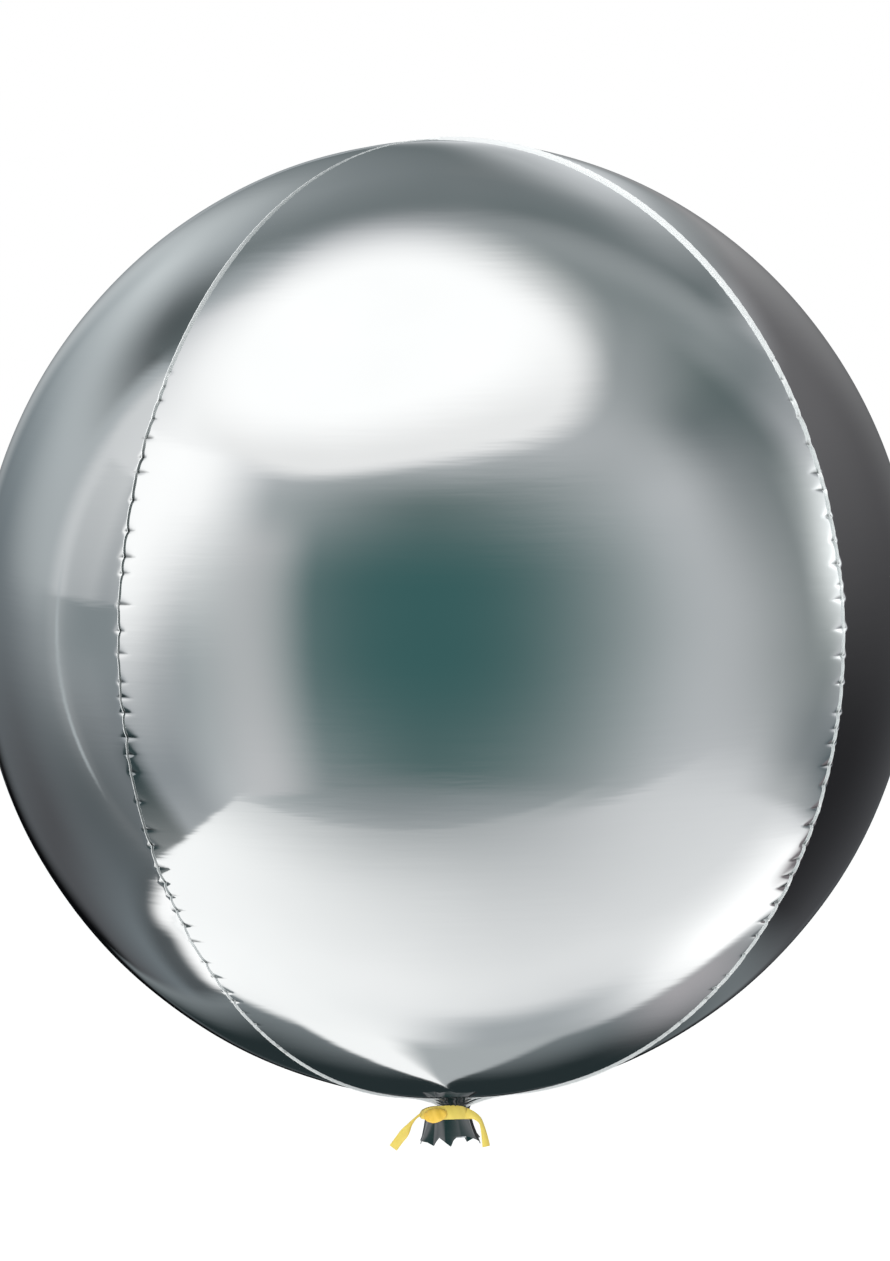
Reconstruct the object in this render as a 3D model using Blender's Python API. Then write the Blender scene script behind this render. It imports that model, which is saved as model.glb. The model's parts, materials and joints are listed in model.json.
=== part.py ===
# A round foil balloon, filled and floating: four gores of mirror film, heat sealed edge to edge,
# with a gathered neck below them that a flat ribbon ties, and a short pleated tail.
# Metres, +Z up. The front gore faces -Y, and the origin is the middle of the envelope.

import math

import bmesh
import bpy
from mathutils import Vector

# Envelope. Seen from above it is a little square, with its corners at the seams, and seen from the side
# it is a little leaner than an ellipse towards its ends.
ENVELOPE_WIDTH = 0.392
ENVELOPE_HEIGHT = 0.400
GORE_COUNT = 4
SEAM_SWELL = 0.020
END_TAPER = 0.013
FILM_WALL = 0.0015
CROWN_HOLE_RADIUS = 0.0020

# Heat seals, which stand out from the film as narrow flanges
SEAL_THICKNESS = 0.0010
SEAL_HEIGHT = 0.0025

# Clearance between neighbouring pieces
GAP = 0.0003

# Neck, tied by the ribbon. Each level is (height below the envelope, centre x, half width in x, half depth in y)
THROAT_RADIUS = 0.0067
NECK_WALL = 0.0010
NECK_LEVELS = [
    (0.0030, 0.0, THROAT_RADIUS, THROAT_RADIUS),
    (-0.0045, 0.0, THROAT_RADIUS, THROAT_RADIUS),
    (-0.0075, -0.0010, 0.0084, 0.0068),
    (-0.0110, -0.0017, 0.0102, 0.0074),
    (-0.0145, -0.0018, 0.0106, 0.0076),
]

# Pleated tail below the ribbon
TAIL_LEVELS = [
    (-0.0148, -0.0018, 0.0106, 0.0076),
    (-0.0170, -0.0017, 0.0112, 0.0082),
    (-0.0190, -0.0016, 0.0119, 0.0089),
    (-0.0218, -0.0014, 0.0127, 0.0096),
]
TAIL_WALL = 0.0008
PLEATS_PER_FILM = 4
PLEAT_DEPTH = 0.0010
HEM_SCALLOP = 0.0015

# Flat filling valve, which shows in the mouth of the tail
VALVE_HALF_WIDTH = THROAT_RADIUS - NECK_WALL - GAP
VALVE_THICKNESS = 0.0005
VALVE_TOP = 0.0025
VALVE_BOTTOM = -0.0195

# Curling ribbon, 5 mm wide
RIBBON_WIDTH = 0.0050
RIBBON_THICKNESS = 0.0005
BAND_CENTRE_X = -0.0026
BAND_HALF_X = 0.0123
BAND_HALF_Y = 0.0092
BAND_HEIGHT = -0.0103
BAND_ARCH = 0.0013
BAND_TAPER = 0.0008
KNOT_THICKNESS = 0.0018
KNOT_START = math.radians(196)
KNOT_END = math.radians(236)

# Ribbon ends: angle round the band where each starts, its middle control point and its tip
LEFT_END = (math.radians(188), (-0.0185, -0.0050, -0.0105), (-0.0279, -0.0062, -0.0233))
RIGHT_END = (math.radians(322), (0.0118, -0.0070, -0.0120), (0.0141, -0.0078, -0.0233))
RIBBON_END_TWIST = math.radians(35)

# Faceting
GORE_COLUMNS = 14
GORE_ROWS = 28
SEAL_ROWS = 42
NECK_SIDES = 28
BAND_SIDES = 32
TAIL_STEPS = PLEATS_PER_FILM * 6
RIBBON_STEPS = 8
KNOT_STEPS = 6

half_width = ENVELOPE_WIDTH / 2
half_height = ENVELOPE_HEIGHT / 2
edge_distance = SEAL_THICKNESS / 2 + GAP
neck_hole_radius = THROAT_RADIUS + GAP
half_gore = math.pi / GORE_COUNT


def clear_scene():
    for obj in list(bpy.data.objects):
        bpy.data.objects.remove(obj, do_unlink=True)


def plain_material(name, colour, roughness, metallic):
    material = bpy.data.materials.new(name)
    material.use_nodes = True
    shader = material.node_tree.nodes["Principled BSDF"]
    shader.inputs["Base Color"].default_value = (*colour, 1.0)
    shader.inputs["Roughness"].default_value = roughness
    shader.inputs["Metallic"].default_value = metallic
    material.diffuse_color = (*colour, 1.0)
    return material


def mesh_from_loops(name, loops, joined_round):
    """A closed body through a row of closed loops. Each loop holds its outer points in order, then its
    inner points in the opposite order, so that an open end is capped by a strip of quads."""
    body = bmesh.new()
    rows = [[body.verts.new(point) for point in loop] for loop in loops]
    count = len(rows[0])
    pairs = list(zip(rows, rows[1:]))
    if joined_round:
        pairs.append((rows[-1], rows[0]))
    for near, far in pairs:
        for i in range(count):
            j = (i + 1) % count
            body.faces.new((near[i], near[j], far[j], far[i]))
    if not joined_round:
        for row in (rows[0], rows[-1]):
            for i in range(count // 2 - 1):
                body.faces.new((row[i], row[i + 1], row[count - 2 - i], row[count - 1 - i]))
    bmesh.ops.recalc_face_normals(body, faces=body.faces)
    mesh = bpy.data.meshes.new(name)
    body.to_mesh(mesh)
    body.free()
    mesh.shade_smooth()
    mesh.set_sharp_from_angle(angle=math.radians(40))
    return mesh


def add_piece(name, mesh, material, parent=None, turn=0.0):
    piece = bpy.data.objects.new(name, mesh)
    bpy.context.scene.collection.objects.link(piece)
    if not mesh.materials:
        mesh.materials.append(material)
    piece.parent = parent
    piece.rotation_euler.z = turn
    return piece


def shell_point(latitude, angle, offset):
    """Radius and height of the envelope, or of a surface outside it by the offset. The angle runs from
    the middle of a gore to the seam at its edge."""
    swell = 1 + SEAM_SWELL * (abs(angle) / half_gore) ** 4
    taper = 1 - END_TAPER * math.sin(latitude) ** 2
    radius = (half_width * swell + offset) * taper * math.cos(latitude)
    return radius, (half_height + offset) * math.sin(latitude)


def latitude_range(offset, low_radius, high_radius):
    """Latitudes from the edge of the neck's hole up to the crown, for a surface at this offset."""
    reach = (half_width + offset) * (1 - END_TAPER)
    return -math.acos(low_radius / reach), math.acos(high_radius / reach)


def gore_row(offset, share):
    """Points across one gore at one height, from its left seam to its right one. The gore faces -Y."""
    low, high = latitude_range(offset, neck_hole_radius, CROWN_HOLE_RADIUS)
    latitude = low + (high - low) * share
    seam_radius, _ = shell_point(latitude, half_gore, offset)
    edge_angle = half_gore - math.asin(edge_distance / seam_radius)
    points = []
    for column in range(GORE_COLUMNS + 1):
        angle = edge_angle * (2 * column / GORE_COLUMNS - 1)
        radius, height = shell_point(latitude, angle, offset)
        points.append(Vector((radius * math.sin(angle), -radius * math.cos(angle), height)))
    return points


def gore_mesh():
    loops = []
    for row in range(GORE_ROWS + 1):
        share = row / GORE_ROWS
        outer = gore_row(0.0, share)
        inner = gore_row(-FILM_WALL, share)
        loops.append(outer + inner[::-1])
    return mesh_from_loops("gore", loops, joined_round=False)


def seal_mesh():
    """The flange of one heat seal, in the plane x = 0 on the -Y side, from the neck to the crown."""
    side = SEAL_THICKNESS / 2
    loops = []
    for row in range(SEAL_ROWS + 1):
        corners = []
        for offset in (SEAL_HEIGHT, -FILM_WALL):
            low, high = latitude_range(offset, neck_hole_radius, edge_distance)
            latitude = low + (high - low) * row / SEAL_ROWS
            corners.append(shell_point(latitude, half_gore, offset))
        (tip_radius, tip_height), (root_radius, root_height) = corners
        loops.append(
            [
                Vector((-side, -tip_radius, tip_height)),
                Vector((side, -tip_radius, tip_height)),
                Vector((side, -root_radius, root_height)),
                Vector((-side, -root_radius, root_height)),
            ]
        )
    return mesh_from_loops("seal", loops, joined_round=False)


def build_envelope():
    film = plain_material("mirror_film", (0.80, 0.82, 0.83), 0.05, 1.0)
    seal_film = plain_material("sealed_film", (0.85, 0.86, 0.87), 0.18, 1.0)
    gore = gore_mesh()
    seal = seal_mesh()
    gore_names = ("gore_front", "gore_right", "gore_back", "gore_left")
    seal_names = ("seal_front_right", "seal_back_right", "seal_back_left", "seal_front_left")
    for index in range(GORE_COUNT):
        quarter = 2 * math.pi / GORE_COUNT * index
        add_piece(gore_names[index], gore, film, turn=quarter)
        add_piece(seal_names[index], seal, seal_film, turn=quarter + half_gore)


def oval_point(level, angle, inset, swell=0.0):
    """A point of an oval section. Angle 0 is +X and 270 degrees is the front."""
    height, centre_x, half_x, half_y = level
    x = centre_x + (half_x - inset + swell) * math.cos(angle)
    y = (half_y - inset + swell) * math.sin(angle)
    return Vector((x, y, height))


def build_neck(parent):
    throat_film = plain_material("throat_film", (0.42, 0.44, 0.46), 0.15, 1.0)
    loops = []
    for side in range(NECK_SIDES):
        angle = 2 * math.pi * side / NECK_SIDES
        outer = [oval_point(level, angle, 0.0) for level in NECK_LEVELS]
        inner = [oval_point(level, angle, NECK_WALL) for level in NECK_LEVELS]
        loops.append(outer + inner[::-1])
    mesh = mesh_from_loops("neck", loops, joined_round=True)
    add_piece("neck", mesh, throat_film, parent)


def tail_loop(angle, side_shift, pleat_phase):
    """The tail's wall at one angle, from its top edge to its hem and back up inside. Pleats deepen downwards,
    and the hem is lowest between them."""
    pleat = math.cos(pleat_phase)
    last = len(TAIL_LEVELS) - 1
    outer = []
    inner = []
    for index, level in enumerate(TAIL_LEVELS):
        swell = PLEAT_DEPTH * pleat * index / last
        lift = HEM_SCALLOP * pleat if index == last else 0.0
        for wall, inset in ((outer, 0.0), (inner, TAIL_WALL)):
            point = oval_point(level, angle, inset, swell)
            point.y += side_shift
            point.z += lift
            wall.append(point)
    return outer + inner[::-1]


def build_tail(parent):
    tail_film = plain_material("tail_film", (0.34, 0.36, 0.39), 0.2, 1.0)
    for name, start, side_shift in (("tail_front", math.pi, -GAP / 2), ("tail_back", 0.0, GAP / 2)):
        loops = []
        for step in range(TAIL_STEPS + 1):
            share = step / TAIL_STEPS
            loops.append(tail_loop(start + math.pi * share, side_shift, 2 * math.pi * PLEATS_PER_FILM * share))
        mesh = mesh_from_loops(name, loops, joined_round=False)
        add_piece(name, mesh, tail_film, parent)


def build_valve(parent):
    clear_film = plain_material("valve_film", (0.62, 0.65, 0.68), 0.3, 0.0)
    loops = []
    for height in (VALVE_TOP, VALVE_BOTTOM):
        loops.append(
            [
                Vector((-VALVE_HALF_WIDTH, -VALVE_THICKNESS / 2, height)),
                Vector((VALVE_HALF_WIDTH, -VALVE_THICKNESS / 2, height)),
                Vector((VALVE_HALF_WIDTH, VALVE_THICKNESS / 2, height)),
                Vector((-VALVE_HALF_WIDTH, VALVE_THICKNESS / 2, height)),
            ]
        )
    mesh = mesh_from_loops("valve", loops, joined_round=False)
    add_piece("valve_film", mesh, clear_film, parent)


def band_point(angle, across, out):
    """A point on the ribbon's loop: across runs from -1, its lower edge, to 1, its upper edge.
    The loop is highest at the front and back, and narrower at its upper edge."""
    middle = BAND_HEIGHT - BAND_ARCH * math.cos(2 * angle)
    height = middle + across * RIBBON_WIDTH / 2
    narrowing = BAND_TAPER * (1 + across) / 2
    level = (height, BAND_CENTRE_X, BAND_HALF_X - narrowing, BAND_HALF_Y - narrowing)
    return oval_point(level, angle, 0.0, out)


def build_band(parent, ribbon):
    loops = []
    for side in range(BAND_SIDES):
        angle = 2 * math.pi * side / BAND_SIDES
        loops.append(
            [
                band_point(angle, -1, 0.0),
                band_point(angle, 1, 0.0),
                band_point(angle, 1, -RIBBON_THICKNESS),
                band_point(angle, -1, -RIBBON_THICKNESS),
            ]
        )
    mesh = mesh_from_loops("ribbon_band", loops, joined_round=True)
    add_piece("ribbon_band", mesh, ribbon, parent)


def build_knot(parent, ribbon):
    """The knot lies over the band at the left front, thickest in its middle."""
    loops = []
    for step in range(KNOT_STEPS + 1):
        share = step / KNOT_STEPS
        angle = KNOT_START + (KNOT_END - KNOT_START) * share
        bulge = 0.55 + 0.45 * math.sin(math.pi * share)
        top = GAP + KNOT_THICKNESS * bulge
        loops.append(
            [
                band_point(angle, -0.9 * bulge, top),
                band_point(angle, 0.9 * bulge, top),
                band_point(angle, 1.1 * bulge, GAP),
                band_point(angle, -1.1 * bulge, GAP),
            ]
        )
    mesh = mesh_from_loops("ribbon_knot", loops, joined_round=False)
    add_piece("ribbon_knot", mesh, ribbon, parent)


def build_ribbon_end(parent, ribbon, name, route):
    """A trimmed end of the ribbon, which leaves the band, turns over and hangs."""
    start_angle, bend, tip = route
    start = band_point(start_angle, 0, GAP + RIBBON_THICKNESS)
    bend = Vector(bend)
    tip = Vector(tip)
    loops = []
    for step in range(RIBBON_STEPS + 1):
        share = step / RIBBON_STEPS
        centre = start.lerp(bend, share).lerp(bend.lerp(tip, share), share)
        along = (bend - start).lerp(tip - bend, share).normalized()
        twist = RIBBON_END_TWIST * share
        across = along.cross(Vector((math.sin(twist), -math.cos(twist), 0.0))).normalized()
        facing = across.cross(along).normalized()
        half_across = across * RIBBON_WIDTH / 2 * (0.8 + 0.2 * share)
        half_facing = facing * RIBBON_THICKNESS / 2
        loops.append(
            [
                centre - half_across + half_facing,
                centre + half_across + half_facing,
                centre + half_across - half_facing,
                centre - half_across - half_facing,
            ]
        )
    mesh = mesh_from_loops(name, loops, joined_round=False)
    add_piece(name, mesh, ribbon, parent)


def build_tie(parent):
    ribbon = plain_material("yellow_ribbon", (0.86, 0.70, 0.16), 0.3, 0.0)
    build_band(parent, ribbon)
    build_knot(parent, ribbon)
    build_ribbon_end(parent, ribbon, "ribbon_end_left", LEFT_END)
    build_ribbon_end(parent, ribbon, "ribbon_end_right", RIGHT_END)


def main():
    clear_scene()
    build_envelope()
    envelope_foot = bpy.data.objects.new("envelope_foot", None)
    bpy.context.scene.collection.objects.link(envelope_foot)
    envelope_foot.location.z = -half_height
    build_neck(envelope_foot)
    build_tail(envelope_foot)
    build_valve(envelope_foot)
    build_tie(envelope_foot)


main()
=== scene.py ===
# Looks of a round foil balloon: four gores of mirror film, puckered along their heat seals, a gathered
# throat tied with a flat ribbon, and a short pleated tail. Metres, +Z up, the front gore faces -Y.
import json
import math
import random

import bpy
import numpy as np
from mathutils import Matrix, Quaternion, Vector

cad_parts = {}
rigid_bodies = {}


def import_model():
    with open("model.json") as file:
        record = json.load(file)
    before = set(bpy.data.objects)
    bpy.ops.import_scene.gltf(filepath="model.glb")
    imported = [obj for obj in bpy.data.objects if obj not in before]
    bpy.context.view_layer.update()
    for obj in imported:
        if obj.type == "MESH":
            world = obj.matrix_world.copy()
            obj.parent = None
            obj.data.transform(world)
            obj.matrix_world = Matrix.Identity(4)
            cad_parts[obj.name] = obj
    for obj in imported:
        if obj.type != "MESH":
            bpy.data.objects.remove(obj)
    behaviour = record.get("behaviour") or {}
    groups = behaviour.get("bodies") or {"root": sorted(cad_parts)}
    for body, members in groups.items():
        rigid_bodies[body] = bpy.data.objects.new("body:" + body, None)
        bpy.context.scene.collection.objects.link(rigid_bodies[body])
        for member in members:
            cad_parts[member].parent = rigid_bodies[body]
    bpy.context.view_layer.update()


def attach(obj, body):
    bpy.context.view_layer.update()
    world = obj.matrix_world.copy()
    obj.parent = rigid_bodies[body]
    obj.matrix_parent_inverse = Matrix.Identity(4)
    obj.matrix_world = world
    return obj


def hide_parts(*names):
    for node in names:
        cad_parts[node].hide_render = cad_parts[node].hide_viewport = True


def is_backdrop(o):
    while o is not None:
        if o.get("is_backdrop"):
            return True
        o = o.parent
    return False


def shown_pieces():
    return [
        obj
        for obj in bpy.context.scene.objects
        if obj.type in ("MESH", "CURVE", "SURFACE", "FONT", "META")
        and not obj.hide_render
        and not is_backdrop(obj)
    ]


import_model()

bpy.context.scene.view_settings.view_transform = "Standard"


# Camera, floor and studio

camera = {
    "distance": 1.862,  # from the middle of the envelope
    "azimuth": -5.9,  # degrees, to the left of the front gore's middle
    "elevation": 3.91,
    "roll": 0.84,
    "lens": 126.8,  # mm, on a 36 mm sensor
    "shiftX": -0.0010,
    "shiftY": -0.0088,
}


def direction(azimuth, elevation):
    # azimuth 0 looks from the middle towards -Y, 90 towards +X
    azimuth = math.radians(azimuth)
    elevation = math.radians(elevation)
    level = math.cos(elevation)
    return Vector((math.sin(azimuth) * level, -math.cos(azimuth) * level, math.sin(elevation)))


def makeCamera():
    print("camera")
    back = direction(camera["azimuth"], camera["elevation"])
    bpy.ops.object.camera_add(location=back * camera["distance"])
    eye = bpy.context.object
    eye.rotation_mode = "QUATERNION"
    roll = Quaternion((0, 0, 1), math.radians(-camera["roll"]))
    eye.rotation_quaternion = (-back).to_track_quat("-Z", "Y") @ roll
    eye.data.lens = camera["lens"]
    eye.data.shift_x = camera["shiftX"]
    eye.data.shift_y = camera["shiftY"]
    eye.data.clip_start = 0.05
    eye.data.clip_end = 200
    bpy.context.scene.camera = eye


def linear(level):
    # from a display level, 0 to 255, to light
    share = level / 255
    return share / 12.92 if share <= 0.04045 else ((share + 0.055) / 1.055) ** 2.4


def paint(red, green, blue, gain=1.0):
    return (linear(red) * gain, linear(green) * gain, linear(blue) * gain, 1.0)


def addNode(tree, kind, inputs=None, **settings):
    made = tree.nodes.new(kind)
    for name, value in settings.items():
        setattr(made, name, value)
    fillInputs(tree, made, inputs or {})
    return made


def fillInputs(tree, node, values):
    for name, value in values.items():
        socket = node.inputs[name]
        if isinstance(value, bpy.types.NodeSocket):
            tree.links.new(value, socket)
        else:
            socket.default_value = value


def calculate(tree, operation, first, second=0.0, third=0.0):
    return addNode(tree, "ShaderNodeMath", {0: first, 1: second, 2: third}, operation=operation).outputs[0]


def mixColour(tree, factor, first, second):
    # a mix node takes its colours at sockets 6 and 7 and gives the mixed one at 2
    return addNode(tree, "ShaderNodeMix", {0: factor, 6: first, 7: second}, data_type="RGBA").outputs[2]


def makeGroup(name, inputs, outputs):
    group = bpy.data.node_groups.new(name, "ShaderNodeTree")
    for side, sockets in (("INPUT", inputs), ("OUTPUT", outputs)):
        for socketName, kind, value in sockets:
            socket = group.interface.new_socket(socketName, in_out=side, socket_type="NodeSocket" + kind)
            if value is not None:
                socket.default_value = value
    return group, group.nodes.new("NodeGroupInput").outputs, group.nodes.new("NodeGroupOutput").inputs


def softPanelGroup():
    # one soft-edged panel of light over what is under it, in any two coordinates
    numbers = ("Across", "Up", "Left from", "Left to", "Right from", "Right to")
    numbers += ("Low from", "Low to", "High from", "High to")
    inputs = [("Under", "Color", None), ("Light", "Color", None)]
    inputs += [(name, "Float", None) for name in numbers]
    group, given, result = makeGroup("softPanel", inputs, [("Light", "Color", None)])
    mask = None
    for way, edge in (("Across", "Left"), ("Across", "Right"), ("Up", "Low"), ("Up", "High")):
        ramp = addNode(
            group,
            "ShaderNodeMapRange",
            {"Value": given[way], "From Min": given[edge + " from"], "From Max": given[edge + " to"]},
            interpolation_type="SMOOTHSTEP",
        ).outputs["Result"]
        mask = ramp if mask is None else calculate(group, "MULTIPLY", mask, ramp)
    group.links.new(mixColour(group, mask, given["Under"], given["Light"]), result["Light"])
    return group


def roundPanelGroup():
    # a panel of light with round corners, in the ceiling's plane
    inputs = [("Under", "Color", None), ("Light", "Color", None), ("Place", "Vector", None)]
    inputs += [("Middle", "Vector", None), ("Half", "Vector", None)]
    inputs += [("Square", "Float", 3.0), ("Soft", "Float", 0.2)]
    group, given, result = makeGroup("roundPanel", inputs, [("Light", "Color", None)])
    offset = addNode(
        group, "ShaderNodeVectorMath", {0: given["Place"], 1: given["Middle"]}, operation="SUBTRACT"
    ).outputs[0]
    share = addNode(
        group, "ShaderNodeVectorMath", {0: offset, 1: given["Half"]}, operation="DIVIDE"
    ).outputs[0]
    part = addNode(group, "ShaderNodeSeparateXYZ", {0: share}).outputs
    powers = []
    for axis in ("X", "Y"):
        size = calculate(group, "ABSOLUTE", part[axis])
        powers.append(calculate(group, "POWER", size, given["Square"]))
    root = calculate(group, "DIVIDE", 1.0, given["Square"])
    away = calculate(group, "POWER", calculate(group, "ADD", *powers), root)
    ramp = addNode(
        group,
        "ShaderNodeMapRange",
        {
            "Value": away,
            "From Min": calculate(group, "ADD", 1.0, given["Soft"]),
            "From Max": calculate(group, "SUBTRACT", 1.0, given["Soft"]),
        },
        interpolation_type="SMOOTHSTEP",
    ).outputs["Result"]
    group.links.new(mixColour(group, ramp, given["Under"], given["Light"]), result["Light"])
    return group


# The studio round the balloon. Walls: azimuth from, to, elevation from, to, then how soft the left, right,
# lower and upper edges are, all in degrees; the back walls count their azimuth from 0 to 360. Beams, floor:
# the same in the planes above and below, counted in their distances from the balloon, to the right and to the
# front. Sheet: the same on the floor, turned a little. Path: it tapers to a tip behind the balloon, and its
# left and right are shares of its width. Then the display level of red, green and blue, and last a gain.
# Ceiling: middle and half width to the right and to the front, how square the corners are, and how soft.
studio = {
    "room": (192, 194, 197),
    "walls": [
        ("front haze", -38, 29, -38, 38, 60, 82, 11, 18, (106, 118, 118), 1.0),
        ("dark front", -58, 32, -36, 26, 97, 83, 70, 33, (56, 92, 92), 1.0),
        ("pale strip", -50, -49, -35, 24, 32, 28, 2, 13, (250, 243, 245), 1.0),
        ("left shade", -115, -66, -51, 23, 4, 12, 19, 2, (135, 141, 145), 1.0),
        ("left softbox", -86, -71, -6, 36, 33, 15, 50, 3, (255, 255, 255), 1.1),
        ("left softbox top", -99, -59, 10, 56, 37, 22, 45, 80, (253, 253, 253), 1.0),
        ("left dark", -104, -80, -50, -19, 8, 6, 3, 4, (48, 62, 64), 1.0),
        ("right dark edge", 70, 91, -24, 48, 51, 11, 37, 15, (113, 121, 121), 1.0),
        ("right dark top", 65, 112, 34, 42, 20, 9, 80, 10, (72, 84, 88), 1.0),
        ("right softbox", 88, 102, -1, 18, 15, 15, 23, 24, (252, 255, 255), 1.4),
        ("right low", 83, 110, -32, -16, 23, 2, 3, 17, (84, 94, 98), 1.0),
    ],
    "backWalls": [
        ("back right", 109, 189, -50, 30, 6, 9, 10, 14, (105, 104, 106), 1.0),
        ("back right glow", 160, 177, -18, 48, 53, 3, 10, 2, (206, 206, 207), 1.0),
        ("back right low", 110, 186, -50, 7, 4, 10, 10, 55, (36, 36, 38), 1.0),
        ("back left", 171, 244, -60, 62, 12, 13, 10, 11, (159, 165, 168), 1.0),
        ("back left high", 193, 216, 1, 33, 24, 75, 7, 17, (249, 254, 255), 1.0),
        ("back left wedge", 216, 236, 31, 50, 30, 6, 26, 14, (0, 20, 22), 1.0),
        ("back left low", 159, 255, -70, -9, 2, 47, 10, 35, (76, 82, 85), 1.0),
        ("back left haze", 193, 228, -35, 24, 16, 37, 5, 44, (119, 129, 134), 1.0),
        ("back left floor", 209, 238, -68, -40, 4, 3, 2, 3, (255, 255, 255), 1.0),
        ("back left floor edge", 224, 239, -60, -37.2, 9, 3, 2, 2.8, (255, 255, 255), 1.0),
        ("rear strip", 241, 255, 14, 44, 6, 5, 80, 12, (209, 211, 212), 1.0),
        ("rear strip low", 243, 261, -9, 3, 22, 7, 14, 2, (125, 133, 136), 1.0),
        ("rear strip rim", 242.9, 243.9, -22, 4, 0.9, 0.9, 10, 14, (168, 175, 178), 1.0),
        ("rim floor", 147, 231, -31, -3, 54, 30, 24, 44, (75, 76, 79), 1.0),
        ("rim shadow", 166, 197, -22, -7, 8, 14, 6, 4, (8, 9, 10), 1.0),
    ],
    "beams": [
        ("ceiling back", -0.17, 1.06, -9.0, -0.37, 1.36, 0.44, 1.0, 0.34, (88, 97, 99), 1.0),
        ("ceiling back right", 0.43, 0.74, -9.0, -0.94, 0.55, 0.96, 1.0, 1.79, (250, 252, 255), 1.0),
        ("ceiling beam", -1.11, 0.6, -0.76, -0.51, 0.07, 0.37, 0.64, 0.2, (107, 115, 117), 1.0),
        ("ceiling right shade", 0.06, 1.37, -0.37, 0.4, 0.44, 1.04, 0.64, 3.02, (85, 99, 99), 1.0),
    ],
    "sheet": [
        ("white floor", -1.06, 0.7, -0.57, 0.99, 0.03, 1.4, 0.06, 0.06, (198, 201, 202), 1.0),
        ("floor left", -1.06, 0.26, -0.57, 0.80, 0.04, 0.92, 0.06, 0.80, (250, 251, 251), 1.0),
    ],
    "floor": [
        ("floor back", 0.0, 1.50, -0.51, 1.01, 1.2, 1.6, 0.04, 0.16, (199, 201, 203), 1.0),
        ("floor right", 0.56, 1.44, -0.68, -0.14, 0.55, 0.34, 0.20, 0.50, (255, 255, 255), 1.1),
        ("floor middle", -0.85, 1.25, -0.15, 0.12, 2.43, 4.22, 0.44, 2.97, (255, 255, 255), 1.0),
        ("floor front shade", -0.92, 0.58, 0.80, 1.36, 1.2, 1.8, 2.9, 0.72, (120, 127, 130), 1.0),
        ("floor shade", 0.01, 0.42, -0.60, -0.25, 0.28, 0.36, 0.03, 0.18, (160, 165, 168), 1.0),
        ("dark floor", -0.53, 1.00, -3.00, -0.56, 0.10, 0.5, 0.8, 0.10, (122, 129, 132), 1.0),
        ("far floor", -0.42, 0.75, -3.00, -0.80, 0.30, 0.6, 0.8, 0.90, (36, 45, 47), 1.0),
        ("brown floor", 0.52, 0.85, -1.00, -0.56, 0.24, 0.3, 1.2, 0.10, (165, 162, 165), 1.0),
        ("floor right shade", 1.16, 2.2, -0.95, -0.36, 0.20, 0.3, 0.3, 0.14, (119, 114, 117), 1.0),
    ],
    "path": [
        ("path shade", -0.06, 0.264, -1.80, -0.48, 0.08, 0.09, 0.3, 0.12, (163, 168, 170), 1.0),
        ("path light", -0.264, -0.05, -1.80, -0.40, 0.06, 0.09, 0.3, 0.30, (244, 245, 245), 1.0),
    ],
    "ceiling": [
        ("overhead glow", -0.3, 0.57, 0.89, 0.58, 2.34, 0.16, (231, 231, 231), 1.0),
        ("overhead softbox", -0.3, 0.28, 0.74, 0.56, 1.84, 0.34, (227, 227, 227), 1.3),
    ],
    "horizon": 0.2,  # planes above and below start where the way there rises or falls by this share
    "sheetTurn": 14.0,  # degrees
    "pathTip": (0.157, -1.60),
    "pathLean": -0.145,  # how far it runs to the left for each step to the front
    "pathFlare": 3.0,  # over 1 widens it faster and faster from the tip
    "filmShare": 0.90,  # the share of light that the film sends back
}


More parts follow.
